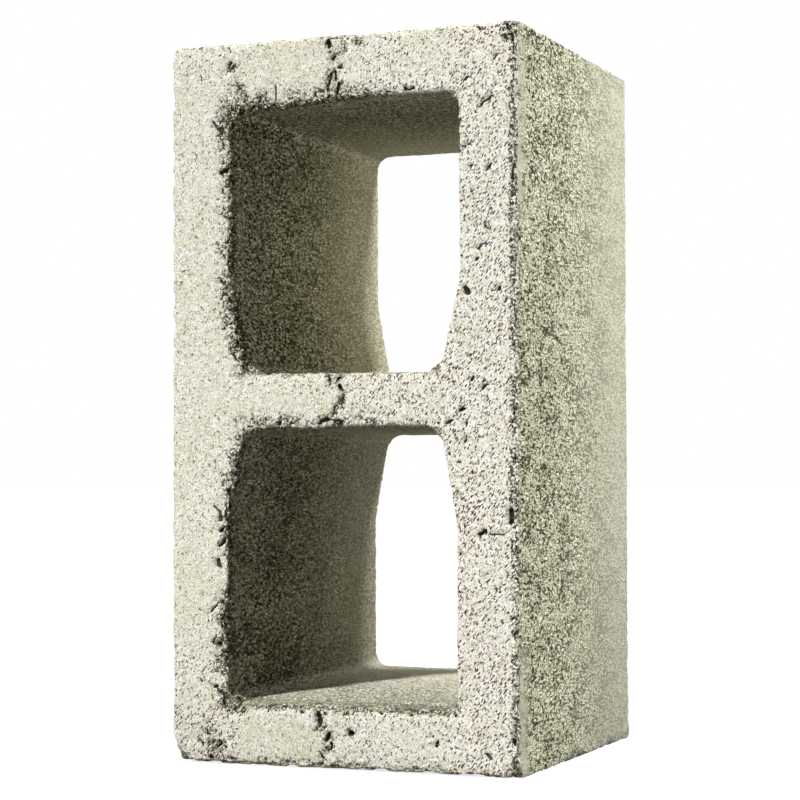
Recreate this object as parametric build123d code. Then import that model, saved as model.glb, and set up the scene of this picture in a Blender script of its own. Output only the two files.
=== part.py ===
"""A hollow concrete block with two cores and plain ends, standing on one end.

Frame, in millimetres: +Z runs up along the block's length, the cores run along Y, and X is the
width. The origin is the centre of the end that the block stands on. The bed face at -Y is the one
with the wider mouths: each core narrows from there to the bed face at +Y, so that the block can be
pushed off the mould's cores.
"""

from build123d import *
import os

# Overall size, as the block stands.
length = 390.0  # along Z
width = 200.0  # along X, the thickness of the wall that the block builds
height = 200.0  # along Y, one course of that wall

# Walls at the wide mouths of the cores, on the -Y bed face.
face_shell = 32.5
end_web = 33.0
middle_web = 26.0

# Draft: how much thicker each wall is on the +Y bed face, on each side that faces a core.
shell_draft = 4.6
end_web_draft = 3.8
middle_web_draft = 1.9

# Flare: the face shells thicken towards the middle web.
flare_length = 52.0  # along Z, from the middle web's face
flare_depth = 9.5  # how far a shell's inner face has come in where it meets the web
flare_blend_radius = 60.0  # where the straight wall turns into the flare

# Inside corners of a core.
end_corner_radius = 9.0
web_corner_radius = 12.0

# Outside edges.
mould_corner_radius = 4.0  # the four edges that run with the cores
arris_radius = 1.5  # the outer edges of both bed faces
mouth_radius = 1.5  # the rims of the cores' wide mouths

# The shallow trace of the bar that holds the mould's cores, across each web of the -Y bed face.
bar_mark_width = 5.0
bar_mark_depth = 1.5

middle = length / 2
wide_bed = -height / 2
narrow_bed = height / 2


def core_outline(side, shell_extra, end_extra, web_extra):
    """The outline of one core, drawn with X across and the block's length up.

    side is 1 above the middle web and -1 below it. The last three values are how much thicker than
    at the wide mouths the face shells, the end web and the middle web are.
    """
    half = width / 2 - face_shell - shell_extra
    half_at_web = half - flare_depth
    level_end = middle + side * (length / 2 - end_web - end_extra)
    level_web = middle + side * (middle_web / 2 + web_extra)
    level_flare = level_web + side * flare_length
    outline = Polygon(
        (half, level_end),
        (half, level_flare),
        (half_at_web, level_web),
        (-half_at_web, level_web),
        (-half, level_flare),
        (-half, level_end),
        align=None,
    )
    corner_radii = (
        (level_end, end_corner_radius),
        (level_flare, flare_blend_radius),
        (level_web, web_corner_radius),
    )
    for level, radius in corner_radii:
        pair = outline.vertices().filter_by(lambda vertex: abs(vertex.Y - level) < 1e-6)
        outline = fillet(pair, radius)
    return outline


def bed_plane(y):
    """The plane across the cores at y, with X across and the block's length up."""
    return Plane(origin=(0, y, 0), x_dir=(1, 0, 0), z_dir=(0, -1, 0))


def core(side):
    """One tapered core: the wide mouth's outline lofted to the narrow one."""
    wide = core_outline(side, 0, 0, 0)
    narrow = core_outline(side, shell_draft, end_web_draft, middle_web_draft)
    return loft([bed_plane(wide_bed) * wide, bed_plane(narrow_bed) * narrow])


def blank():
    """The block's outer form, with no cores in it yet."""
    box = Pos(0, 0, middle) * Box(width, height, length)
    box = fillet(box.edges().filter_by(Axis.Y), mould_corner_radius)
    return fillet(box.faces().filter_by(Axis.Y).edges(), arris_radius)


def bar_mark():
    """The cutter for the bar's trace: a long cylinder that dips into the wide bed face."""
    radius = (bar_mark_width**2 / 4 + bar_mark_depth**2) / (2 * bar_mark_depth)
    return Pos(0, wide_bed + bar_mark_depth - radius, middle) * Cylinder(radius, length)


def concrete_block():
    block = blank() - core(1) - core(-1)
    wide_bed_face = block.faces().sort_by(Axis.Y)[0]
    rims = [edge for mouth in wide_bed_face.inner_wires() for edge in mouth.edges()]
    return fillet(rims, mouth_radius) - bar_mark()


if __name__ == "__main__":
    os.makedirs("parts", exist_ok=True)
    block = concrete_block()
    export_step(block, "parts/concrete_block.step")
    print("solids", len(block.solids()), "litres", round(block.volume / 1e6, 3))
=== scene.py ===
"""The looks of a hollow concrete block that stands on one end, as cast: worn arrises, crumbled core
rims, the ragged trace of the mould's bar across each web, pits, pores and open, grainy sides.
"""

import bpy
import itertools
import math
import numpy as np
from mathutils import Matrix, Vector

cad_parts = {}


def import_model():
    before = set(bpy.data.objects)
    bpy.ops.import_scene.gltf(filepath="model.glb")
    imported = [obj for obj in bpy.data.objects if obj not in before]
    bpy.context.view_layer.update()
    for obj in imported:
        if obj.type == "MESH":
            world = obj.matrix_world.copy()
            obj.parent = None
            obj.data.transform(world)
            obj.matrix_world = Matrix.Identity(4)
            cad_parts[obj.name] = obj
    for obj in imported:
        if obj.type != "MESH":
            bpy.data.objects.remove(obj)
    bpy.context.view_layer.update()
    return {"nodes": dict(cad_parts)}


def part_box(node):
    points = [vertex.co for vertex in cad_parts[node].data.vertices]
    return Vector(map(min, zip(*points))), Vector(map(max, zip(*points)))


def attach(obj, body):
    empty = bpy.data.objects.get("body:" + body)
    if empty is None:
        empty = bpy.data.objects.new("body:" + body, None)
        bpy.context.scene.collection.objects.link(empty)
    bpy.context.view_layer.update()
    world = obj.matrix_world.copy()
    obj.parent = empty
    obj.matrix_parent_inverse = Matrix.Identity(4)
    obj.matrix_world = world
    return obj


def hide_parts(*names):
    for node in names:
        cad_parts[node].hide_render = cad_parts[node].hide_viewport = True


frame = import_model()

mm = 0.001

# The block's box, from the frame: X is the width, Y runs along the cores, Z is the length.
box_low, box_high = (np.array(corner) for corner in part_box("concrete_block"))
front_bed = box_low[1]
back_bed = box_high[1]

# The mesh: an even, dense start, and the most triangles that are kept.
voxel = 0.9 * mm
triangle_limit = 196000


# Repeatable noise in space


def cell_values(cells, seed):
    """A fixed value from 0 to 1, as good as random, for each whole-number cell."""
    primes = np.array([73856093, 19349663, 83492791], np.uint32)
    seed_spread, seed_start = 40503, 977
    mixing_steps = ((15, 0x2C1B3C6D), (12, 0x297A2D39), (15, 0x5BD1E995))
    mixed = cells.astype(np.int64).astype(np.uint32) * primes
    key = mixed[:, 0] ^ mixed[:, 1] ^ mixed[:, 2] ^ np.uint32(seed * seed_spread + seed_start)
    for shift, factor in mixing_steps:
        key = (key ^ (key >> np.uint32(shift))) * np.uint32(factor)
    return (key >> np.uint32(8)) / 2**24


def noise(points, size, seed):
    """Smooth noise from 0 to 1, with lumps of about this size."""
    scaled = points / size
    cell = np.floor(scaled)
    part = scaled - cell
    part = part * part * (3 - 2 * part)
    total = np.zeros(len(points))
    for step in itertools.product((0, 1), repeat=3):
        weight = np.where(step, part, 1 - part).prod(axis=1)
        total += weight * cell_values(cell + step, seed)
    return total


def rough_noise(points, size, seed, layers=3):
    """Noise from 0 to 1 in layers, each at half the size and half the strength of the last."""
    total, strengths = 0, 0
    for layer in range(layers):
        strength = 0.5**layer
        total = total + strength * noise(points, size * strength, seed + layer)
        strengths += strength
    return total / strengths


def scattered(points, size, seed):
    """The distance to the nearest of the points scattered one to a cell, and that one's own value."""
    cell = np.floor(points / size)
    nearest = np.full(len(points), np.inf)
    own = np.zeros(len(points))
    for step in itertools.product((-1, 0, 1), repeat=3):
        beside = cell + step
        place = np.stack([cell_values(beside, seed + axis) for axis in range(3)], axis=1)
        distance = np.linalg.norm((beside + place) * size - points, axis=1)
        closer = distance < nearest
        nearest[closer] = distance[closer]
        own[closer] = cell_values(beside[closer], seed + 3)
    return nearest, own


def step_up(low, high, values):
    """0 below low, 1 above high, and smooth between them."""
    part = np.clip((values - low) / (high - low), 0, 1)
    return part * part * (3 - 2 * part)


# Mesh helpers


def mesh_points(mesh):
    points = np.empty(len(mesh.vertices) * 3)
    mesh.vertices.foreach_get("co", points)
    return points.reshape(-1, 3)


def mesh_edges(mesh):
    edges = np.empty(len(mesh.edges) * 2, np.int64)
    mesh.edges.foreach_get("vertices", edges)
    return edges.reshape(-1, 2)


def set_points(mesh, points):
    mesh.vertices.foreach_set("co", points.astype(np.float32).ravel())
    mesh.update()


def modified(piece, kind, **settings):
    """Runs one modifier on the piece and keeps its result as the piece's mesh."""
    modifier = piece.modifiers.new(kind, kind)
    for name, value in settings.items():
        setattr(modifier, name, value)
    evaluated = piece.evaluated_get(bpy.context.evaluated_depsgraph_get())
    result = bpy.data.meshes.new_from_object(evaluated)
    piece.modifiers.clear()
    old = piece.data
    piece.data = result
    bpy.data.meshes.remove(old)


def blurred(values, edges, rounds):
    """The vertices' values, averaged with their neighbours' again and again."""
    count = len(values)
    starts, ends = edges.T
    neighbours = np.bincount(edges.ravel(), minlength=count)[:, None]
    for _ in range(rounds):
        sums = [
            np.bincount(starts, column[ends], count) + np.bincount(ends, column[starts], count)
            for column in values.T
        ]
        values = (values + np.stack(sums, axis=1) / neighbours) / 2
    return values


def path_distance(points, path):
    """How far each point is from a path on the front bed face, given as (x, z)."""
    nearest = np.full(len(points), np.inf)
    corners = [np.array((x, front_bed / mm, z)) for x, z in path]
    for start, end in zip(corners, corners[1:] or corners):
        along = end - start
        part = np.clip((points - start) @ along / max(along @ along, 1e-9), 0, 1)[:, None]
        nearest = np.minimum(nearest, np.linalg.norm(points - start - part * along, axis=1))
    return nearest


# Damage that the photograph shows on the front bed face. Each hollow is a radius and then the points
# (x, z) that it runs through, in millimetres.

seam_hollows = (
    # across the top web
    (0.9, (-9, 389.7), (-4, 388.4), (0, 389), (4, 388.6)),
    (1.6, (-6.4, 387), (-6, 383.6)),
    (0.9, (-5.2, 381)),
    (0.9, (-4.2, 376.8), (-1.6, 378.6)),
    (0.7, (2.8, 384.8), (2.5, 381.5)),
    (0.9, (0.5, 372.2)),
    (1.0, (-2.2, 370.4), (-1.8, 366)),
    (0.9, (-5, 369.5), (-5.6, 366), (-7, 362.4)),
    (0.9, (0.4, 364.2), (-0.4, 361.4), (-2.8, 358.4)),
    (1.0, (-5.8, 360), (-8.6, 356.6)),
    (1.2, (5, 357.2)),
    (0.7, (9.3, 387), (10.6, 388.8)),
    (0.8, (12, 384.5)),
    # across the middle web
    (1.0, (-7.2, 207), (-5.6, 203.8)),
    (1.0, (-0.8, 204), (1.2, 205.8)),
    (0.9, (0.3, 202.4), (1.6, 200.2)),
    (1.0, (2.0, 197.2), (0.4, 193.4)),
    (0.7, (0.4, 193.4), (-2.4, 191.4), (-4, 187.6)),
    (1.0, (-12, 184.8), (-10, 186), (-7, 186.2)),
    (0.8, (-3.4, 184), (-0.8, 185.6), (0.4, 184.4)),
    (1.0, (-15.6, 183.4)),
    # across the bottom web
    (0.7, (-14.5, 36), (-13.5, 30)),
    (1.5, (-12.8, 28.6), (-11.4, 25.2)),
    (0.8, (-11.4, 24), (-12.2, 22)),
    (0.9, (-9.5, 21.6)),
    (1.3, (-8.2, 15.4), (-6, 19)),
    (0.9, (-5.5, 14), (-5, 12), (-7, 10)),
    (0.9, (-10.8, 7.4), (-10, 6)),
    (1.3, (-11, 2.2)),
    (1.0, (-6, 0.8), (-1, 0.6)),
    (1.0, (-7.5, 33)),
    (0.9, (-9, 28.6)),
    (1.1, (-1.2, 32.8), (1.2, 34.2)),
    (1.1, (2.4, 29.6)),
    (2.0, (6.4, 19.6)),
)
rim_hollows = (
    # left and top rims of the upper core
    (0.7, (-75, 348), (-73, 344.6)),
    (0.9, (-72, 343.4), (-70.6, 340.8)),
    (1.2, (-66, 344.4)),
    (0.9, (-65.4, 335.6), (-64.8, 338.8)),
    (0.9, (-61, 354), (-60.4, 350)),
    (1.1, (-57, 356.6), (-52, 359.2)),
    (0.7, (-48.4, 360.2), (-45, 362.4)),
    (0.6, (-43.4, 361), (-43, 363.6)),
    (0.8, (-70.6, 328), (-70.4, 324.6)),
    (1.6, (-71.4, 320), (-68, 320.8), (-63.4, 321)),
    (0.9, (-71, 319.4), (-69.4, 317)),
    (1.0, (-69, 312), (-66.4, 312)),
    (0.9, (-68.6, 306)),
    (0.8, (-68, 294.4), (-63, 295.6)),
    (1.0, (-67.6, 292)),
    (0.9, (-67, 288.4), (-63, 288.8)),
    (1.6, (-68, 284.4), (-68, 281.8)),
    (0.9, (-67, 277), (-64, 278.4)),
    (0.9, (-69.2, 273.4)),
    (0.8, (-65, 274), (-67.4, 269.4), (-66, 266), (-64.6, 263)),
    (1.0, (-67.4, 264)),
    (0.8, (-73, 262.6), (-71.4, 258.4)),
    (1.3, (-66, 256.4), (-64, 254.6), (-61, 254.8)),
    (1.1, (-69, 253.4)),
    (1.2, (-65.4, 251), (-65.6, 249)),
    (1.0, (-67, 245), (-64.4, 245.2), (-61, 247)),
    (1.1, (-65.4, 244), (-65, 240.4)),
    (0.7, (-69.6, 234), (-68, 236.4)),
    (1.3, (-60.2, 233), (-61.2, 230)),
    (1.0, (-61.6, 228), (-62.4, 225)),
    (0.8, (-64.6, 222), (-63.4, 217.4)),
    (1.2, (-56.6, 217)),
    (1.3, (-54.6, 212), (-53.4, 214.8)),
    (0.9, (-58.6, 213.4), (-58, 209)),
    (1.2, (28.6, 357.4)),
    (0.9, (37.4, 360.6), (39.6, 358.4), (42.6, 359.8)),
    (1.0, (19.4, 357)),
    (1.0, (34.6, 356.8)),
    # left, top and lower rims of the lower core
    (0.7, (-56, 183.6), (-50, 184.8)),
    (1.1, (-36.4, 183), (-35.4, 185.4)),
    (0.7, (-29.6, 183), (-26, 184.6)),
    (0.8, (-61, 178.4), (-60.4, 177)),
    (1.1, (-66.2, 147), (-66.4, 143.4)),
    (0.8, (-63.6, 147.4)),
    (0.8, (-74.4, 139), (-72.6, 136), (-72.2, 131)),
    (1.9, (-70.6, 126), (-67.6, 127.6)),
    (1.1, (-69.6, 121.4), (-71, 117.4)),
    (1.0, (-69, 112.4)),
    (1.0, (-72.6, 110), (-73.4, 108), (-72.4, 106)),
    (0.9, (-70.6, 89.6)),
    (1.0, (-72, 87), (-69.6, 86.4)),
    (0.7, (-76, 81.8), (-74.4, 84)),
    (1.9, (-70.2, 74.6), (-67.6, 78.6)),
    (0.9, (-75, 65.4), (-73.4, 67.8)),
    (1.0, (-72, 65.6), (-71, 64.4)),
    (1.0, (-74.6, 41), (-73.4, 42)),
    (0.6, (-73.4, 40), (-71.4, 37), (-69.6, 31.6)),
    (1.4, (-62.4, 36), (-60.8, 34)),
    (1.0, (-57, 36.4)),
    (0.9, (-56.4, 29.4)),
    (1.2, (-22.6, 30)),
    (0.9, (14.6, 31.4), (15.8, 33)),
    (1.0, (23, 30), (25, 33)),
    (1.0, (40, 30.4), (42, 33)),
    (0.9, (52, 31.4), (58, 34)),
)
shell_hollows = (
    # right shell, from the top down
    (1.0, (78, 388.8), (80, 386.8), (81.6, 386.4)),
    (2.0, (83.6, 391.4), (87.2, 390.6)),
    (0.8, (92, 388.6)),
    (0.6, (92, 386.4), (93, 384.6)),
    (0.7, (93.2, 383.2), (94.4, 380.6)),
    (0.9, (95, 386.2), (96.2, 385.4)),
    (1.0, (96, 383.8), (97.4, 382.4)),
    (0.8, (97.2, 380.8), (98, 380)),
    (0.6, (89.6, 387.4)),
    (0.6, (94, 379.4)),
    (0.7, (98.4, 375.6), (98.6, 373)),
    (0.6, (98.8, 368)),
    (0.6, (98.2, 362), (98.6, 360)),
    (0.6, (98.8, 352.4)),
    (0.7, (98.4, 343), (98.8, 341)),
    (0.6, (98.6, 332)),
    (0.9, (94, 388.6), (95, 387.6)),
    (1.0, (98, 388.8), (99.6, 387.4)),
    (0.9, (99.8, 384)),
    (1.1, (98.6, 378.6)),
    (0.8, (95.8, 379)),
    (0.8, (87.4, 370.8), (89.6, 373)),
    (0.8, (92.6, 371.4)),
    (0.9, (71.8, 361), (73.2, 362.6)),
    (1.0, (60.4, 367.6)),
    (0.8, (80, 346.4), (82, 349), (85, 350), (86.4, 351.6)),
    (1.1, (77.4, 343.6)),
    (0.8, (88, 356.6), (89, 358.4)),
    (0.8, (70, 325.8), (72.6, 326.4), (75.4, 328)),
    (1.0, (75, 316)),
    (0.9, (84.4, 314.4), (86, 316.4)),
    (1.5, (99.6, 322), (99.8, 319.6)),
    (1.5, (98, 308.6), (98.8, 313.4)),
    (1.0, (98.6, 303), (100, 300)),
    (1.0, (82.6, 284)),
    (0.7, (78.4, 272.4), (80.4, 274.6), (83, 275)),
    (1.4, (100, 268.4), (100, 265.4)),
    (1.0, (77.4, 266.6), (78.6, 268)),
    (1.6, (71.8, 252.6), (73, 250.4)),
    (1.0, (89.8, 250.6), (90.2, 252)),
    (0.8, (93, 244.4), (94.2, 246.4)),
    (1.0, (80, 235)),
    (1.2, (99.8, 234)),
    (0.9, (66, 210.6)),
    (1.0, (74.6, 204.4), (75.8, 206)),
    (0.8, (80.4, 200), (83, 202), (85.6, 202.6)),
    (1.5, (100, 205), (100, 199)),
    (1.0, (68.6, 195)),
    (0.9, (62.4, 186.4)),
    (1.1, (62, 183.2), (64, 183.8)),
    (1.1, (68.4, 189), (70, 189.6)),
    (0.9, (57.6, 184)),
    (1.0, (71.6, 181), (71.8, 182.4)),
    (3.2, (99, 184), (99.6, 189)),
    (0.8, (71, 172.6), (71.6, 176)),
    (0.9, (63.6, 166.4)),
    (1.3, (99.2, 166), (100, 161.4)),
    (1.6, (95.6, 137), (96.6, 133), (95.6, 131)),
    (0.6, (84, 124.6), (88, 125), (91.4, 124.4), (94, 126), (97.4, 128.4)),
    (1.2, (78.6, 124.4), (82, 126.4)),
    (1.2, (68.6, 129), (68.4, 126)),
    (1.1, (69, 114.4)),
    (1.0, (88, 96.4)),
    (0.8, (96, 81), (97.6, 82.4), (99, 81.6)),
    (0.9, (97.6, 73.4), (98, 71.4)),
    (1.3, (100, 61)),
    (1.0, (66.4, 38)),
    (1.9, (97.6, 19)),
    (0.9, (82, 12.4), (84.4, 10)),
    (1.2, (54.4, 15), (55.2, 17.6)),
    (0.9, (52.6, 19.6)),
    # left shell and the webs' left parts, from the top down
    (0.5, (-65.4, 388), (-64, 384.6)),
    (0.6, (-33.2, 382.6)),
    (0.6, (-52, 380.2)),
    (0.7, (-66.2, 376.4), (-64.4, 379.6)),
    (0.6, (-63.4, 375.6), (-62.2, 378)),
    (0.5, (-60, 377.2), (-58.4, 378.2)),
    (0.5, (-66.6, 372.8), (-66, 375)),
    (0.6, (-82.2, 370.4), (-82, 374)),
    (0.5, (-70.4, 371.2), (-69.4, 371)),
    (0.6, (-68.2, 366.8)),
    (0.8, (-37.6, 361.4), (-37, 365.4)),
    (0.6, (-55.8, 361), (-55.6, 363.4)),
    (0.6, (-62.6, 361.4), (-61.4, 362.8)),
    (0.6, (-41, 360.2), (-38.4, 359.4)),
    (0.9, (-13.9, 361.6)),
    (0.7, (-19.4, 359.4), (-17.4, 358)),
    (0.8, (-25.6, 356.6)),
    (0.6, (-75.8, 303.2)),
    (0.6, (-72, 308), (-71.6, 311)),
    (0.5, (-94.4, 253.6)),
    (0.5, (-85.6, 46.6)),
    (0.5, (-82.4, 45.2), (-81, 43.6)),
    (0.6, (-86.4, 33.6)),
    (0.6, (-87.8, 24)),
    (0.8, (-77.2, 22.6), (-76, 24)),
    (0.5, (-57.8, 22.6)),
    (0.6, (-79, 19), (-78.4, 16), (-75.6, 15.4)),
    (0.6, (-82.4, 15)),
    (0.6, (-62.4, 15), (-65, 12.6)),
    (0.9, (-81.4, 9.4), (-81, 11.4)),
    (0.6, (-78.4, 10.6), (-76, 13)),
    (1.0, (-72, 9.6), (-69.8, 11.6)),
    (0.9, (-67, 9.6)),
    (0.7, (-82, 5.4)),
    (0.9, (-76.6, 4), (-75, 1.6)),
    (1.1, (-64, 3.4), (-62, 2.4)),
)
crumbled_spots = (
    # x, z and how far the crumbling reaches
    (97, 385, 9),
    (-63, 377, 4.5),
    (-60, 363, 8),
    (-77, 11, 14),
    (80, 349, 5),
)
worn_corners = (
    # x, z, how far it is worn away, and how far from the corner the wear reaches
    (-100, 0, 5.4, 17),
    (100, 0, 2.0, 12),
)

# The part's measures beside its box, in millimetres: the cores' outline in the front bed face and its
# flare, the round of the long corners, and the bar's straight groove with a little room.
middle_level = (box_low[2] + box_high[2]) / 2 / mm
core_half_width, core_half_length, core_offset = 67.5, 74.5, 87.5
flare_length, flare_depth = 52.0, 9.5
end_corner_radius = 9.0
groove_half_width, groove_depth = 3.4, 1.8

# What the photograph shows beside them: how far the upper core sits to the right, how much further out the
# middle of a long corner's round is, as a share of its radius, and how far the rims of the wide mouths
# stand into the cores, in millimetres.
upper_core_shift = 1.8
corner_filling = 0.24
right_rim, flared_right_rim, left_rim = 1.7, 1.0, 1.6
top_rim, top_rim_at_left, upper_floor_rim = 1.4, 2.2, 1.8
corner_rim, corner_rim_way = 3.2, (0.75, 0, -0.65)
upper_left_corner = (-64, front_bed / mm, 360)

# The wear, in millimetres: the sizes of grains and lumps, and how deep each kind of wear goes.
crumb_size, crumb_gap_depth, crumb_height = 2.5, 2.6, 0.7
nick_size, nick_depth, deep_nick_depth = 3.2, 0.8, 1.8
notch_size, notch_depth = 5.5, 1.9
lump_size, lump_depth, lump_height = 6.0, 0.6, 0.25
sunk_patch_size, sunk_patch_depth = 45, 0.4
core_wall_height = 0.6
border_depth = 1.9
floor_rim_depth, uneven_floor_rim_depth = 1.2, 1.6
rim_wander, rim_waver = 5.0, 3.0
full_edge_bulge = 1.2
hollows_reach = 8

# How many times the points and the normals are averaged with their neighbours'.
point_rounds, normal_rounds = 28, 8


# In each step_up, the first two numbers are where the step starts and ends: for places and distances in
# millimetres, and for noise in its own values from 0 to 1.


def from_front(points):
    """How far each point is behind the front bed face."""
    return points[:, 1] - front_bed / mm


def core_middle(points):
    """The level of the middle of the nearer core, for each point."""
    return middle_level + np.where(points[:, 2] > middle_level, core_offset, -core_offset)


def on_subset(where, values_for, points):
    """Works the values out only for the points where the mask is true, and gives 0 for the rest."""
    values = np.zeros(len(points))
    values[where] = values_for(points[where])
    return values


def mouth_distance(points):
    """How far each point is, seen along Y, outside the nearer core's outline."""
    across = np.abs(points[:, 0])
    from_middle = np.abs(points[:, 2] - middle_level)
    from_web = from_middle - (core_offset - core_half_length)
    half = core_half_width - flare_depth * np.clip(1 - from_web / flare_length, 0, 1)
    sideways = across - half
    upwards = np.abs(from_middle - core_offset) - core_half_length
    outside = np.hypot(np.maximum(sideways, 0), np.maximum(upwards, 0))
    return outside + np.minimum(np.maximum(sideways, upwards), 0)


def without_groove(points):
    """Fills the bar's straight trace, which the hollows take the place of."""
    in_groove = np.abs(points[:, 0]) < groove_half_width
    in_groove &= points[:, 1] < front_bed / mm + groove_depth
    in_groove &= mouth_distance(points) > 1.0
    points[in_groove, 1] = front_bed / mm
    return points


def with_shifted_core(points):
    """Moves the upper core's walls to the right, and leaves the outside and the webs' outer parts."""
    amount = upper_core_shift * step_up(97, 78, np.abs(points[:, 0]))
    amount *= step_up(185, 215, points[:, 2]) * step_up(386, 365, points[:, 2])
    points[:, 0] += amount
    return points


def with_fuller_corners(points):
    """Fills out the four long corners, which the photograph shows almost sharp, within the block's box."""
    middle = (box_low + box_high) / 2 / mm
    across = points - middle
    beyond = np.abs(across) - ((box_high - box_low) / 2 / mm - end_corner_radius)
    sideways, upwards = np.maximum(beyond[:, 0], 0), np.maximum(beyond[:, 2], 0)
    reach = np.hypot(sideways, upwards)
    twice_angle_sine = 2 * sideways * upwards / np.maximum(reach, 1e-9) ** 2
    share = corner_filling * twice_angle_sine**2
    points[:, 0] += np.sign(across[:, 0]) * sideways * share
    points[:, 2] += np.sign(across[:, 2]) * upwards * share
    return points


def corner_wear(points):
    """How far each point moves because the front corners are knocked off, as vectors."""
    move = np.zeros_like(points)
    for x, z, depth, reach in worn_corners:
        corner = np.array((x, front_bed / mm, z))
        inwards = np.sign((0, 0, middle_level) - corner)
        near = step_up(reach, 0, np.linalg.norm(points - corner, axis=1))
        move += (depth * near)[:, None] * inwards / math.sqrt(3)
    return move


def grains(points, size, seed):
    """1 at the middle of a rounded grain and 0 in the gaps between grains."""
    distance, own = scattered(points, size, seed)
    return step_up(0.75, 0.15, distance / size) * (0.7 + 0.3 * own)


def crumbled_rims(points, rim):
    """How far each point is in the crumbled band round a wide mouth: most on its left and its top."""
    from_mouth = mouth_distance(points)
    left = step_up(-50, -60, points[:, 0])
    top = step_up(66, 73, points[:, 2] - core_middle(points)) * step_up(60, -20, points[:, 0])
    front = step_up(9, 3, from_front(points))
    band = step_up(9, 2, from_mouth) * step_up(-12, -2, from_mouth) * front
    band *= 0.15 + 0.95 * np.maximum(left, top)
    patchy = 0.35 + 0.65 * step_up(0.38, 0.62, rough_noise(points, 9, seed=51, layers=2))
    for x, z, reach in crumbled_spots:
        away = np.linalg.norm(points - (x, front_bed / mm, z), axis=1)
        band = np.maximum(band, 1.1 * step_up(reach, 0.4 * reach, away))
    on_front = step_up(3, 1, from_front(points))
    foot_and_top = np.maximum(0.8 * step_up(8, 3, points[:, 2]), 0.5 * step_up(384, 388, points[:, 2]))
    band = np.maximum(band, 0.7 * on_front * foot_and_top)
    lip = step_up(-4, -2.5, from_mouth) * step_up(2, 0.5, from_mouth) * front * np.maximum(left, top)
    return np.maximum(np.maximum(band, 1.15 * lip) * patchy, 0.4 * rim)


def wandering_rims(points):
    """How far each point near a mouth moves sideways, so that its rim has no straight line in it."""
    across = points[:, 0]
    upwards = points[:, 2] - core_middle(points)
    away = np.stack([
        np.sign(across) * step_up(-7, 0, np.abs(across) - core_half_width),
        np.zeros(len(points)),
        np.sign(upwards) * step_up(-7, 0, np.abs(upwards) - core_half_length),
    ], axis=1)
    near = step_up(9, 3, np.abs(mouth_distance(points)))
    near *= step_up(14, 3, from_front(points))
    near *= np.maximum(step_up(10, -30, across), 0.25)
    sideways = rim_wander * (rough_noise(points, 9, seed=71) - 0.5)
    sideways = sideways + rim_waver * (noise(points, 3, seed=75) - 0.5)
    return away * (near * sideways)[:, None]


def thicker_rims(points):
    """How far the rims of the wide mouths stand further into the cores than the walls behind them."""
    across = points[:, 0]
    upwards = points[:, 2] - core_middle(points)
    upper = step_up(185, 205, points[:, 2])
    near = step_up(8, 3, np.abs(mouth_distance(points)))
    near *= step_up(22, 3, from_front(points))
    flared = step_up(30, 60, np.where(upper > 0.5, -upwards, upwards))
    at_right = right_rim + flared_right_rim * upper * flared
    at_right = at_right * step_up(-9, -3, across - core_half_width + flare_depth * flared)
    at_left = left_rim * step_up(-9, -3, -across - core_half_width + flare_depth * flared)
    under_top = top_rim + top_rim_at_left * upper * step_up(20, -30, across)
    under_top = under_top * step_up(-9, -3, upwards - core_half_length)
    over_web = upper_floor_rim * upper * step_up(-9, -3, -upwards - core_half_length)
    move = np.zeros_like(points)
    move[:, 0] = near * (at_left - at_right)
    move[:, 2] = near * (over_web - under_top)
    from_corner = np.linalg.norm(points - upper_left_corner, axis=1)
    move += (corner_rim * step_up(19, 4, from_corner) * near)[:, None] * corner_rim_way
    return move


def uneven_borders(points, normals):
    """How far the outer faces are sunk in a band beside the front bed face, where they are knocked."""
    band = step_up(16, 5, from_front(points)) * step_up(0.9, 0.6, np.abs(normals[:, 1]))
    band *= step_up(4, 8, mouth_distance(points))
    return border_depth * band * step_up(0.45, 0.78, rough_noise(points, 7, seed=45, layers=2))


def nearest_path(points, hollows):
    """How far each point is from the nearest of the hollows' paths."""
    return np.minimum.reduce([path_distance(points, path) for _, *path in hollows])


def hollow_depth(points, ragged):
    """How deep the listed hollows are at each point, and how much painted shade darkens them."""
    deepest = np.zeros(len(points))
    painted_darkest = np.zeros(len(points))
    for radius, *path in (*seam_hollows, *rim_hollows, *shell_hollows):
        away = path_distance(points, path) / (radius * ragged)
        deepest = np.maximum(deepest, (1.5 * radius + 0.8) * step_up(1.1, 0.35, away))
        painted_darkest = np.maximum(painted_darkest, (2.0 + min(radius, 1.0)) * step_up(1.1, 0.45, away))
    return deepest, painted_darkest


def worn_nicks(points, arris, right_edge, foot):
    """How deep the outer arrises are nicked, most at the front right edge and at the foot."""
    nicks = on_subset(arris > 0.05, lambda some: 1 - grains(some, nick_size, seed=61), points)
    deeper = step_up(0.42, 0.7, rough_noise(points, 7, seed=65, layers=2))
    nicks *= arris * (nick_depth + deep_nick_depth * deeper)
    nicks *= 0.7 + 0.6 * right_edge + 0.2 * foot
    nicks += arris * notch_depth * step_up(0.48, 0.8, noise(points, notch_size, seed=67))
    return nicks


def worn_floor_rim(points):
    """How far each point is on the lower core's front rim at the floor, which is worn down."""
    rim = step_up(5, 0.5, np.abs(mouth_distance(points))) * step_up(6, 1, from_front(points))
    rim *= step_up(-66, -72, points[:, 2] - core_middle(points)) * step_up(215, 195, points[:, 2])
    return rim


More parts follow.
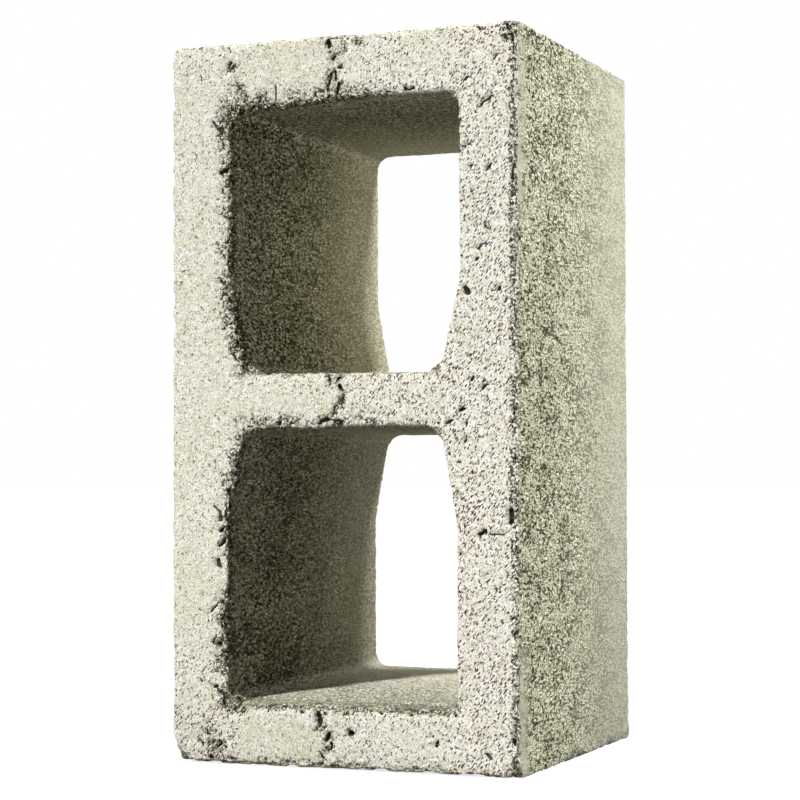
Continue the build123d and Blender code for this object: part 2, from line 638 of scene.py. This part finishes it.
def shaped(points, normals, edges):
    """The cast surface with its wear, in millimetres, the painted shade in its hollows, crumbled gaps and
    nicks, and how crumbled it is.

    The block's box is not kept to here: cast_block holds the points inside it.
    """
    points = with_fuller_corners(with_shifted_core(without_groove(points)))
    near = blurred(points, edges, point_rounds)
    edge = np.clip(((points - near) * normals).sum(axis=1) / full_edge_bulge, 0, 1)
    from_faces = np.sort(np.minimum(points - box_low / mm, box_high / mm - points), axis=1)
    rim = edge * step_up(10, 16, from_faces[:, 1])
    arris = edge * step_up(16, 10, from_faces[:, 1])

    wear = 0.1 + 0.6 * rough_noise(points, 22, seed=11)
    worn = points + (near - points) * (wear * np.maximum(edge, 0.15))[:, None]
    worn += corner_wear(points) * (0.4 + 1.2 * rough_noise(points, 6, seed=13))[:, None]
    worn += wandering_rims(points) + thicker_rims(points)

    relief = lump_depth * rough_noise(points, lump_size, seed=21) - lump_height
    sunk = step_up(0.35, 0.8, rough_noise(points, sunk_patch_size, seed=41))
    relief = relief + sunk_patch_depth * sunk
    relief -= np.where(mouth_distance(points) < -0.5, core_wall_height, 0)

    near_front = points[:, 1] < front_bed / mm + hollows_reach
    close = points[near_front]
    crumbled = crumbled_rims(points, rim)
    seam_band = step_up(4.5, 1.5, nearest_path(close, seam_hollows))
    crumbled[near_front] = np.maximum(crumbled[near_front], 0.55 * seam_band)
    gaps = on_subset(crumbled > 0.02, lambda some: 1 - grains(some, crumb_size, seed=55), points)
    crumble = crumbled * (crumb_gap_depth * gaps - crumb_height)

    right_edge = step_up(90, 97, points[:, 0]) * step_up(9, 3, from_front(points))
    foot = step_up(8, 2, points[:, 2]) * step_up(9, 3, from_front(points))
    nicks = worn_nicks(points, arris, right_edge, foot)
    floor_rim = worn_floor_rim(points)

    hollow, painted_shade = np.zeros((2, len(points)))
    ragged = 0.1 + 1.8 * rough_noise(close, 2.4, seed=81, layers=2)
    hollow[near_front], painted_shade[near_front] = hollow_depth(close, ragged)
    depth = relief + crumble + nicks + hollow + uneven_borders(points, normals)
    depth += floor_rim * (floor_rim_depth + uneven_floor_rim_depth * rough_noise(points, 5, seed=69))
    # Painted shade darkens the crumbled gaps and the nicks too.
    painted_shade = np.maximum(painted_shade, 0.5 * crumble + 0.4 * nicks)
    crumbled = np.maximum(crumbled, arris * (0.5 + 0.5 * np.maximum(right_edge, foot)))
    pits = step_up(94.8, 97.8, points[:, 0]) * step_up(3.5, 1.5, from_front(points))
    patchy = step_up(0.3, 0.5, rough_noise(points, 8, seed=59, layers=2))
    crumbled = np.maximum(crumbled, 1.6 * pits * patchy)
    return worn - normals * depth[:, None], painted_shade, np.maximum(crumbled, 0.6 * floor_rim)


def store(mesh, name, values):
    """Keeps a value for each point, which the material reads."""
    attribute = mesh.attributes.new(name, "FLOAT", "POINT")
    attribute.data.foreach_set("value", values.astype(np.float32))


def mark_surface(mesh):
    """Stores for each point how far it is paste, how far inside a core, and how pitted or open it is."""
    points = mesh_points(mesh) / mm
    from_beds = np.minimum(from_front(points), back_bed / mm - points[:, 1])
    from_mouth = mouth_distance(points)
    paste = step_up(3.4, 2.0, from_beds) * step_up(-2.6, -1.0, from_mouth)
    uneven = 12 * rough_noise(points, 9, seed=95, layers=2)
    strip = step_up(19, 10, from_front(points) + uneven - 6)
    strip *= np.maximum(step_up(280, 300, points[:, 2]), step_up(75, 50, points[:, 2]))
    strip *= step_up(97, 98, points[:, 0]) * step_up(0.3, 0.5, rough_noise(points, 6, seed=97, layers=2))
    to_right = 0.35 * step_up(-5, 20, points[:, 0]) + 0.45 * step_up(52, 72, points[:, 0])
    lower_left = 0.6 * step_up(85, 45, points[:, 2]) * step_up(-50, -65, points[:, 0])
    pitted = np.maximum(to_right, lower_left) * step_up(0, -1, points[:, 1])
    patches = step_up(0.35, 0.8, rough_noise(points, 25, seed=91, layers=2))
    pitted += 0.35 * patches + 0.3 * step_up(12, 2, from_mouth)
    openness = (1 - 0.66 * step_up(50, 190, from_front(points))) * (1 - 0.85 * strip)
    store(mesh, "paste", paste)
    store(mesh, "open", openness)
    store(mesh, "strip", strip)
    store(mesh, "inside", step_up(1, -2, from_mouth))
    store(mesh, "pitted", np.clip(pitted, 0, 1))


def cast_block():
    """The block's visual mesh: the CAD solid's shape, made dense, worn and reduced again."""
    node = frame["nodes"]["concrete_block"]
    piece = bpy.data.objects.new("cast_concrete_block", node.data.copy())
    bpy.context.scene.collection.objects.link(piece)
    modified(piece, "REMESH", mode="VOXEL", voxel_size=voxel)
    points = mesh_points(piece.data) / mm
    edges = mesh_edges(piece.data)
    normals = np.empty(len(points) * 3)
    piece.data.vertex_normals.foreach_get("vector", normals)
    normals = blurred(normals.reshape(-1, 3), edges, normal_rounds)
    normals /= np.linalg.norm(normals, axis=1)[:, None]
    points, painted_shade, crumbled = shaped(points, normals, edges)
    set_points(piece.data, np.clip(points * mm, box_low, box_high))
    # The painted shade in hollows, crumbled gaps and nicks, stored as hollow for the material.
    store(piece.data, "hollow", painted_shade)
    store(piece.data, "crumbled", crumbled)
    triangles = 2 * len(piece.data.polygons)
    modified(piece, "DECIMATE", decimate_type="COLLAPSE", ratio=triangle_limit / triangles)
    set_points(piece.data, np.clip(mesh_points(piece.data), box_low, box_high))
    piece.data.shade_smooth()
    mark_surface(piece.data)
    return piece


# Material

# Colours, as red, green, blue and 1. First the paste on the bed faces, with what marks it.
dull_paste, pale_paste = (0.78, 0.765, 0.63, 1), (0.82, 0.81, 0.705, 1)
pitted_paste = (0.90, 0.86, 0.76, 1)
stain, spot = (0.72, 0.695, 0.50, 1), (0.58, 0.575, 0.39, 1)
# The pores' colours are painted shade in the pores, browner in the shallow ones.
shallow_pore_shade, deep_pore_shade = (0.21, 0.125, 0.065, 1), (0.045, 0.025, 0.01, 1)
# Then the open-grained sides and ends, and the walls inside the cores.
dull_side, pale_side = (0.765, 0.76, 0.60, 1), (0.81, 0.81, 0.65, 1)
closed_side, smooth_strip = (0.605, 0.60, 0.475, 1), (0.51, 0.50, 0.39, 1)
lower_wall, upper_wall = (0.46, 0.445, 0.325, 1), (0.76, 0.725, 0.54, 1)
# The ceiling colour is painted shade on the cores' undersides, and the floor colour is painted light on the
# floors, which face the key light.
ceiling_painted_shade, floor_painted_light = (0.42, 0.40, 0.29, 1), (1.0, 0.96, 0.80, 1)
# Last the painted shade in the gaps between grains, in the voids in crumbled rims and in the bottoms of
# hollows.
side_gap_shade, crumb_void_shade, hollow_shade = (0.04, 0.043, 0.02, 1), (0.06, 0.045, 0.025, 1), (0.05, 0.045, 0.035, 1)

# The sizes of what the textures are made of, and how high or deep each is.
side_grain_size, side_grain_height, side_gap_depth = 1.2 * mm, 0.40 * mm, 0.8 * mm
deep_pore_size, deep_pore_depth = 1.4 * mm, 0.7 * mm
shallow_pore_size, shallow_pore_depth = 1.0 * mm, 0.3 * mm
sand_size, sand_height = 1.05 * mm, 0.40 * mm
roll_size, roll_height = 4 * mm, 1.0 * mm
crumb_grain_size, crumb_grain_height = 1.6 * mm, 0.8 * mm


class Nodes:
    """Shorthand for building a node tree. All but add return the new node's main output."""

    def __init__(self, tree):
        self.tree = tree

    def add(self, kind, inputs=None, **settings):
        """A node with these settings, whose inputs are given values or other nodes' outputs."""
        node = self.tree.nodes.new(kind)
        for name, value in settings.items():
            setattr(node, name, value)
        for name, value in (inputs or {}).items():
            if isinstance(value, bpy.types.NodeSocket):
                self.tree.links.new(value, node.inputs[name])
            else:
                node.inputs[name].default_value = value
        return node

    def calculate(self, operation, first, second=0.0):
        return self.add("ShaderNodeMath", {0: first, 1: second}, operation=operation).outputs[0]

    def vector(self, operation, inputs):
        return self.add("ShaderNodeVectorMath", inputs, operation=operation).outputs[0]

    def scaled(self, vector, share):
        return self.vector("SCALE", {0: vector, "Scale": share})

    def product(self, *values):
        total = values[0]
        for value in values[1:]:
            total = self.calculate("MULTIPLY", total, value)
        return total

    def step_up(self, low, high, value, at_low=0.0, at_high=1.0):
        """at_low below low, at_high above high, and smooth between them."""
        limits = {"Value": value, "From Min": low, "From Max": high, "To Min": at_low, "To Max": at_high}
        return self.add("ShaderNodeMapRange", limits, interpolation_type="SMOOTHSTEP").outputs[0]

    def between(self, factor, first, second):
        """first where factor is 0 and second where it is 1, for plain numbers."""
        return self.add("ShaderNodeMix", {"Factor": factor, "A": first, "B": second}).outputs[0]

    def blend(self, factor, first, second):
        """first where factor is 0 and second where it is 1, for colours."""
        node = self.add("ShaderNodeMix", data_type="RGBA")
        for name, value in (("Factor_Float", factor), ("A_Color", first), ("B_Color", second)):
            socket = next(s for s in node.inputs if s.identifier == name)
            if isinstance(value, bpy.types.NodeSocket):
                self.tree.links.new(value, socket)
            else:
                socket.default_value = value
        return next(s for s in node.outputs if s.identifier == "Result_Color")

    def noise(self, place, size, detail=2.0, roughness=0.5):
        inputs = {"Vector": place, "Scale": 1 / size, "Detail": detail, "Roughness": roughness}
        return self.add("ShaderNodeTexNoise", inputs).outputs["Fac"]

    def cells(self, place, size, dimensions="3D"):
        """Scattered points about this far apart: the distance to the nearest, in sizes, and its own value."""
        inputs = {"Vector": place, "Scale": 1 / size}
        node = self.add("ShaderNodeTexVoronoi", inputs, voronoi_dimensions=dimensions)
        own = self.add("ShaderNodeSeparateColor", {"Color": node.outputs["Color"]}).outputs[0]
        return node.outputs["Distance"], own

    def attribute(self, name):
        return self.add("ShaderNodeAttribute", attribute_name=name).outputs["Fac"]

    def split(self, vector):
        """A vector's three parts."""
        return self.add("ShaderNodeSeparateXYZ", {"Vector": vector}).outputs


def warped(nodes, place, size, reach):
    """The place, moved about by up to about half of reach, so that nothing has a regular shape."""
    inputs = {"Vector": place, "Scale": 1 / size, "Detail": 2.0}
    push = nodes.add("ShaderNodeTexNoise", inputs).outputs["Color"]
    centred = nodes.vector("SUBTRACT", {0: push, 1: (0.5, 0.5, 0.5)})
    return nodes.vector("ADD", {0: place, 1: nodes.scaled(centred, reach)})


def stretched(nodes, place, turn, scale):
    """The place as a texture that is drawn out along its axes by scale and then turned by these degrees."""
    inputs = {"Vector": place, "Rotation": tuple(math.radians(a) for a in turn), "Scale": scale}
    return nodes.add("ShaderNodeMapping", inputs, vector_type="TEXTURE").outputs[0]


def open_texture(nodes, place, inside):
    """Grains with gaps between them, drawn out along the cores: height in metres, shade and gaps. The shade
    is each grain's own tone and painted light and shade: lighter toward a grain's middle, darker toward the
    gaps, more so inside the cores.
    """
    drawn = stretched(nodes, place, turn=(0, 0, 0), scale=(1, 2.3, 1))
    moved = warped(nodes, drawn, 1.2 * mm, reach=1.4 * mm)
    distance, own = nodes.cells(moved, side_grain_size)
    grain = nodes.step_up(0.8, 0.1, distance)
    fewer = nodes.noise(drawn, 14 * mm, detail=2.0, roughness=0.6)
    fewer = nodes.step_up(0.3, 0.7, fewer, -0.045, 0.045)
    wide_gap = nodes.noise(moved, 1.6 * mm, detail=2.0, roughness=0.65)
    wide_gap = nodes.step_up(0.475, 0.405, nodes.calculate("SUBTRACT", wide_gap, fewer))
    fine_gap = nodes.step_up(0.45, 0.38, nodes.noise(moved, 1.0 * mm, detail=1.0))
    gap = nodes.calculate("MAXIMUM", wide_gap, nodes.calculate("MULTIPLY", fine_gap, 0.85))
    height = nodes.calculate("MULTIPLY", grain, side_grain_height)
    height = nodes.calculate("SUBTRACT", height, nodes.calculate("MULTIPLY", gap, side_gap_depth))
    # Lighter toward each grain's middle and darker toward the gaps: painted light and shade, stronger inside
    # the cores.
    faces = nodes.between(grain, nodes.between(inside, 0.68, 0.36), nodes.between(inside, 1.10, 1.46))
    shade = nodes.product(faces, nodes.step_up(0, 1, own, 0.76, nodes.between(inside, 1.12, 1.38)))
    return height, shade, gap


def strokes(nodes, flat, size, fill, widest):
    """Short slanting pores scattered over a bed face: 1 inside them, and 1 on a rim beside them, which gets a
    painted highlight.

    fill is how many cells have one.
    """
    distance, own = nodes.cells(flat, size, dimensions="2D")
    reach = nodes.calculate("SUBTRACT", own, nodes.calculate("SUBTRACT", 1.0, fill))
    radius = nodes.calculate("MINIMUM", nodes.calculate("MULTIPLY", reach, 0.8), widest)
    outside = nodes.calculate("SUBTRACT", distance, radius)
    there = nodes.step_up(0.02, 0.08, radius)
    rim = nodes.product(nodes.step_up(0.28, 0.1, outside), nodes.step_up(-0.04, 0.04, outside), there)
    return nodes.product(nodes.step_up(0.04, -0.04, outside), there), rim


def fissures(nodes, place, pitted):
    """Short thin cracks, curved and broken, that slant more than not: 1 in them."""
    drawn = stretched(nodes, place, turn=(0, 32, 0), scale=(1, 1, 1.7))
    field = nodes.noise(drawn, 2.4 * mm, detail=3.0, roughness=0.62)
    away = nodes.calculate("ABSOLUTE", nodes.calculate("SUBTRACT", field, 0.5))
    broken = nodes.noise(place, 2.0 * mm, detail=1.0)
    broken = nodes.calculate("SUBTRACT", broken, nodes.between(pitted, 0.12, 0.105))
    return nodes.product(nodes.step_up(0.034, 0.014, away), nodes.step_up(0.46, 0.49, broken))


def slanting_plane(nodes, place):
    """The place on a bed face, drawn out along a slant, for strokes that lean to the right."""
    uneven = warped(nodes, place, 1.6 * mm, reach=0.6 * mm)
    x, y, z = nodes.split(stretched(nodes, uneven, turn=(0, 38, 0), scale=(1, 1, 3.0)))
    sideways = nodes.calculate("ADD", x, nodes.calculate("MULTIPLY", y, 0.6))
    return nodes.add("ShaderNodeCombineXYZ", {0: sideways, 1: z}).outputs[0]


def paste_texture(nodes, place, pitted):
    """Smooth cement paste: height in metres, shade, and the deep and the shallow pores in it. The shade
    follows the sand's and the rolling relief's heights, partly the paste's own speckle and partly painted
    shade in the low parts, and holds a painted highlight on the pores' rims.
    """
    flat = slanting_plane(nodes, place)
    clumps = nodes.noise(place, 9 * mm, detail=2.0, roughness=0.6)
    clumps = nodes.step_up(0.40, 0.62, clumps, 0.6, 1.0)
    deep_fill = nodes.product(nodes.between(pitted, 0.12, 0.76), clumps)
    deep, deep_pore_highlight = strokes(nodes, flat, deep_pore_size, deep_fill, widest=0.24)
    shallow_fill = nodes.between(pitted, 0.20, 0.52)
    shallow, shallow_pore_highlight = strokes(nodes, flat, shallow_pore_size, shallow_fill, widest=0.27)
    fissure = fissures(nodes, place, pitted)
    shallow = nodes.calculate("MAXIMUM", shallow, fissure)
    deep = nodes.calculate("MAXIMUM", deep, nodes.product(fissure, pitted))
    moved = warped(nodes, place, 1.0 * mm, reach=1.1 * mm)
    sandy = nodes.noise(moved, sand_size, detail=2.0, roughness=0.7)
    rolling = nodes.noise(place, roll_size, detail=3.0, roughness=0.65)
    height = nodes.calculate("MULTIPLY", sandy, sand_height)
    height = nodes.calculate("ADD", height, nodes.calculate("MULTIPLY", rolling, roll_height))
    height = nodes.calculate("SUBTRACT", height, nodes.calculate("MULTIPLY", deep, deep_pore_depth))
    height = nodes.calculate("SUBTRACT", height, nodes.calculate("MULTIPLY", shallow, shallow_pore_depth))
    rough = nodes.noise(place, 11 * mm, detail=2.0, roughness=0.6)
    rough = nodes.step_up(0.38, 0.62, rough, 0.7, 1.15)
    # Lighter where the sand and the rolling relief stand higher: partly the paste's own speckle, partly
    # painted shade in the low parts.
    specks = nodes.between(rough, 0.55, nodes.step_up(0.38, 0.60, sandy))
    shade = nodes.between(specks, 0.74, 1.20)
    shade = nodes.product(shade, nodes.step_up(0.35, 0.65, rolling, 0.93, 1.06))
    # A painted highlight on the rims beside the pores.
    rims = nodes.calculate("MAXIMUM", deep_pore_highlight, nodes.calculate("MULTIPLY", shallow_pore_highlight, 0.5))
    shade = nodes.product(shade, nodes.between(rims, 1.0, 1.14))
    return height, shade, deep, shallow


def crumbled_texture(nodes, place, crumbled):
    """Rounded grains with voids between some of them: height in metres, shade and the voids. The shade is
    each grain's own tone and painted light, lighter toward a grain's middle; the voids get painted shade in
    the material.
    """
    moved = warped(nodes, place, 1.5 * mm, reach=1.6 * mm)
    distance, own = nodes.cells(moved, crumb_grain_size)
    fewer = nodes.noise(place, 4.5 * mm, detail=2.0, roughness=0.6)
    fewer = nodes.step_up(0.40, 0.60, fewer, 0.16, -0.02)
    void = nodes.step_up(0.60, 0.67, nodes.calculate("SUBTRACT", distance, fewer))
    fine_void = nodes.step_up(0.49, 0.43, nodes.noise(moved, 1.5 * mm, detail=2.0, roughness=0.6))
    fine_void = nodes.product(fine_void, nodes.step_up(0.35, 0.75, crumbled))
    void = nodes.calculate("MAXIMUM", void, fine_void)
    height = nodes.calculate("MULTIPLY", nodes.step_up(0.8, 0.1, distance), crumb_grain_height)
    # Lighter toward each grain's middle: painted light on the rounded grains.
    shade = nodes.step_up(0.7, 0.2, distance, 0.84, 1.10)
    shade = nodes.product(shade, nodes.step_up(0, 1, own, 0.90, 1.12))
    return height, shade, void


def paste_colour(nodes, place, patches, pitted, deep, shallow):
    """The bed faces: pale patches, a duller foot, stains, spots, and pores darkened with painted shade."""
    level = nodes.split(place)[2]
    colour = nodes.blend(patches, dull_paste, pale_paste)
    colour = nodes.blend(nodes.calculate("MULTIPLY", pitted, 0.8), colour, pitted_paste)
    colour = nodes.scaled(colour, nodes.step_up(150 * mm, 15 * mm, level, 1.0, 0.935))
    stains = nodes.noise(place, 9 * mm, detail=3.0, roughness=0.65)
    stains = nodes.step_up(0.50, 0.72, stains, 0.0, 0.7)
    stains = nodes.product(stains, nodes.between(pitted, 1.0, 0.5))
    colour = nodes.blend(stains, colour, stain)
    spots = nodes.step_up(0.54, 0.66, nodes.noise(place, 2.6 * mm, detail=1.0), 0.0, 0.45)
    colour = nodes.blend(spots, colour, spot)
    colour = nodes.blend(nodes.calculate("MULTIPLY", shallow, 0.85), colour, shallow_pore_shade)
    return nodes.blend(nodes.calculate("MULTIPLY", deep, 0.98), colour, deep_pore_shade)


def side_colour(nodes, place, patches, openness):
    """The sides and ends: pale patches, duller where the grain closes up, and darker low at the back."""
    _, along, level = nodes.split(place)
    colour = nodes.blend(patches, dull_side, pale_side)
    colour = nodes.blend(nodes.step_up(0.9, 0.40, openness, 0.0, 0.9), colour, closed_side)
    colour = nodes.blend(nodes.attribute("strip"), colour, smooth_strip)
    low = nodes.step_up(150 * mm, 60 * mm, level)
    to_back = nodes.step_up(-60 * mm, 70 * mm, along, 1.05, 0.90)
    return nodes.scaled(colour, nodes.between(low, 1.0, to_back))


def wall_colour(nodes, place, up):
    """Inside the cores: darker in the lower core, painted shade on ceilings, painted light that makes the
    walls paler to the back, and painted light on floors.
    """
    _, along, level = nodes.split(place)
    colour = nodes.blend(nodes.step_up(170 * mm, 215 * mm, level), lower_wall, upper_wall)
    # Darker on ceilings: painted shade.
    colour = nodes.blend(nodes.step_up(-0.5, -0.9, up), colour, ceiling_painted_shade)
    # Paler toward the back: painted light from the pale backdrop behind the cores.
    colour = nodes.scaled(colour, nodes.step_up(-70 * mm, 90 * mm, along, 0.94, 1.24))
    # Paler on floors: painted light where the key light falls on them.
    return nodes.blend(nodes.step_up(0.3, 0.8, up), colour, floor_painted_light)


def gap_shade_share(nodes, inside, up):
    """How much painted shade darkens the gaps between grains: less on the cores' floors and ceilings."""
    less_gap_shade = nodes.product(inside, nodes.step_up(0.3, 0.8, up), 0.82)
    less_gap_shade = nodes.calculate("ADD", less_gap_shade, nodes.product(inside, nodes.step_up(-0.4, -0.9, up), 0.35))
    return nodes.calculate("SUBTRACT", nodes.between(inside, 0.97, 0.95), less_gap_shade)


def concrete():
    """Paste on the bed faces, open grain elsewhere, and crumbled rims and hollows over both, with painted
    shade in pores, gaps, voids and hollows.
    """
    material = bpy.data.materials.new("concrete")
    material.use_nodes = True
    nodes = Nodes(material.node_tree)
    place = nodes.add("ShaderNodeTexCoord").outputs["Object"]
    up = nodes.split(nodes.add("ShaderNodeNewGeometry").outputs["Normal"])[2]
    names = ("paste", "pitted", "hollow", "crumbled", "inside", "open")
    paste, pitted, hollow, crumbled, inside, openness = [nodes.attribute(name) for name in names]

    open_height, open_shade, gap = open_texture(nodes, place, inside)
    paste_height, paste_shade, deep, shallow = paste_texture(nodes, place, pitted)
    rim_height, rim_shade, void = crumbled_texture(nodes, place, crumbled)
    height = nodes.between(paste, nodes.product(openness, open_height), paste_height)
    crumbled = nodes.calculate("MINIMUM", crumbled, 1.0)
    height = nodes.calculate("ADD", height, nodes.product(crumbled, rim_height))
    shade = nodes.between(paste, nodes.between(openness, 1.0, open_shade), paste_shade)
    shade = nodes.product(shade, nodes.between(crumbled, 1.0, rim_shade))

    patches = nodes.step_up(0.35, 0.65, nodes.noise(place, 40 * mm, detail=3.0, roughness=0.6))
    sides = side_colour(nodes, place, patches, openness)
    sides = nodes.blend(inside, sides, wall_colour(nodes, place, up))
    # Painted shade in the gaps between grains.
    sides = nodes.blend(nodes.product(gap, gap_shade_share(nodes, inside, up), openness), sides, side_gap_shade)
    colour = nodes.blend(paste, sides, paste_colour(nodes, place, patches, pitted, deep, shallow))
    # Painted shade in the crumbled rims' voids.
    void = nodes.product(void, nodes.step_up(0.15, 0.5, crumbled), 0.94)
    colour = nodes.blend(void, colour, crumb_void_shade)
    # Painted shade in the hollows, crumbled gaps and nicks.
    broken = nodes.noise(place, 1.4 * mm, detail=2.0, roughness=0.6)
    broken = nodes.calculate("ADD", hollow, nodes.calculate("MULTIPLY", broken, 1.6))
    colour = nodes.blend(nodes.step_up(1.9, 2.4, broken, 0.0, 0.93), colour, hollow_shade)
    bluer = nodes.calculate("MULTIPLY", shade, nodes.step_up(0.4, 1.4, shade, 0.76, 1.13))
    shades = nodes.add("ShaderNodeCombineXYZ", {0: shade, 1: shade, 2: bluer}).outputs[0]
    colour = nodes.vector("MULTIPLY", {0: colour, 1: shades})

    shader = material.node_tree.nodes["Principled BSDF"]
    bump = nodes.add("ShaderNodeBump", {"Height": height, "Distance": 1.0, "Strength": 1.0})
    material.node_tree.links.new(colour, shader.inputs["Base Color"])
    material.node_tree.links.new(bump.outputs["Normal"], shader.inputs["Normal"])
    shader.inputs["Roughness"].default_value = 0.92
    shader.inputs["Specular IOR Level"].default_value = 0.12
    return material


# Camera, light and floor


def camera():
    """The photograph's view, found from the block's edges in it."""
    place = Vector((476.5, -1185.0, 157.1)) * mm
    turn, tilt, roll = math.radians(22.148), math.radians(1.833), math.radians(-0.141)
    data = bpy.data.cameras.new("camera")
    data.sensor_width = 36
    data.lens = 100.74
    piece = bpy.data.objects.new("camera", data)
    piece.matrix_world = (
        Matrix.Translation(place)
        @ Matrix.Rotation(turn, 4, "Z")
        @ Matrix.Rotation(math.radians(90) + tilt, 4, "X")
        @ Matrix.Rotation(roll, 4, "Z")
    )
    bpy.context.scene.collection.objects.link(piece)
    bpy.context.scene.camera = piece


def aim(piece, toward):
    """Turns a lamp so that it shines from that direction."""
    piece.rotation_euler = Vector(toward).to_track_quat("Z", "Y").to_euler()
    bpy.context.scene.collection.objects.link(piece)


def direction(turn, rise):
    """From the block towards a lamp: turn degrees from +X towards +Y, and rise degrees up."""
    turn, rise = math.radians(turn), math.radians(rise)
    return Vector((math.cos(turn) * math.cos(rise), math.sin(turn) * math.cos(rise), math.sin(rise)))


def lights():
    """A key light from the front left, and a soft light from the right, a little behind the block."""
    key = bpy.data.lights.new("key", "SUN")
    key.angle = math.radians(4)
    key.energy = 1.14 * math.pi
    aim(bpy.data.objects.new("key", key), direction(turn=251, rise=38))

    side = bpy.data.lights.new("side", "AREA")
    side.size = 0.5
    side.energy = 30.5
    piece = bpy.data.objects.new("side", side)
    piece.location = Vector((1.25, 0.14, 1.25))
    aimed_at = Vector((0.1, 0, 0.2))
    aim(piece, piece.location - aimed_at)


def seen_directly(nodes):
    """1 for what the camera sees, straight or in gloss or through glass, and 0 for light on the block."""
    path = nodes.add("ShaderNodeLightPath").outputs
    seen = nodes.calculate("MAXIMUM", path["Is Camera Ray"], path["Is Glossy Ray"])
    return nodes.calculate("MAXIMUM", seen, path["Is Transmission Ray"])


def world():
    """White to the camera. To the block it is a pale backdrop behind and a dim room in front."""
    room_strength, backdrop_strength = 0.01, 0.55
    studio = bpy.data.worlds.new("studio")
    studio.use_nodes = True
    nodes = Nodes(studio.node_tree)
    behind = nodes.split(nodes.add("ShaderNodeTexCoord").outputs["Generated"])["Y"]
    lighting = nodes.step_up(-0.1, 0.9, behind, room_strength, backdrop_strength)
    strength = nodes.between(seen_directly(nodes), lighting, 1.0)
    background = studio.node_tree.nodes["Background"]
    background.inputs["Color"].default_value = (1, 1, 1, 1)
    studio.node_tree.links.new(strength, background.inputs["Strength"])
    bpy.context.scene.world = studio


def floor():
    """A pale floor that looks white and keeps the block's shadow."""
    reach, grey, glow_strength = 20.0, 0.3, 0.76
    data = bpy.data.meshes.new("floor")
    corners = [(-reach, -reach, 0), (reach, -reach, 0), (reach, reach, 0), (-reach, reach, 0)]
    data.from_pydata(corners, [], [(0, 1, 2, 3)])
    material = bpy.data.materials.new("pale_floor")
    material.use_nodes = True
    tree = material.node_tree
    tree.nodes.remove(tree.nodes["Principled BSDF"])
    nodes = Nodes(tree)
    matt = nodes.add("ShaderNodeBsdfDiffuse", {"Color": (grey, grey, grey, 1)})
    whiteness = nodes.calculate("MULTIPLY", seen_directly(nodes), glow_strength)
    glow = nodes.add("ShaderNodeEmission", {"Strength": whiteness})
    both = nodes.add("ShaderNodeAddShader", {0: matt.outputs[0], 1: glow.outputs[0]})
    tree.links.new(both.outputs[0], tree.nodes["Material Output"].inputs["Surface"])
    data.materials.append(material)
    piece = bpy.data.objects.new("floor", data)
    bpy.context.scene.collection.objects.link(piece)


block = cast_block()
block.data.materials.clear()
block.data.materials.append(concrete())
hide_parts("concrete_block")
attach(block, "root")

camera()
lights()
world()
floor()
bpy.context.scene.view_settings.view_transform = "Standard"
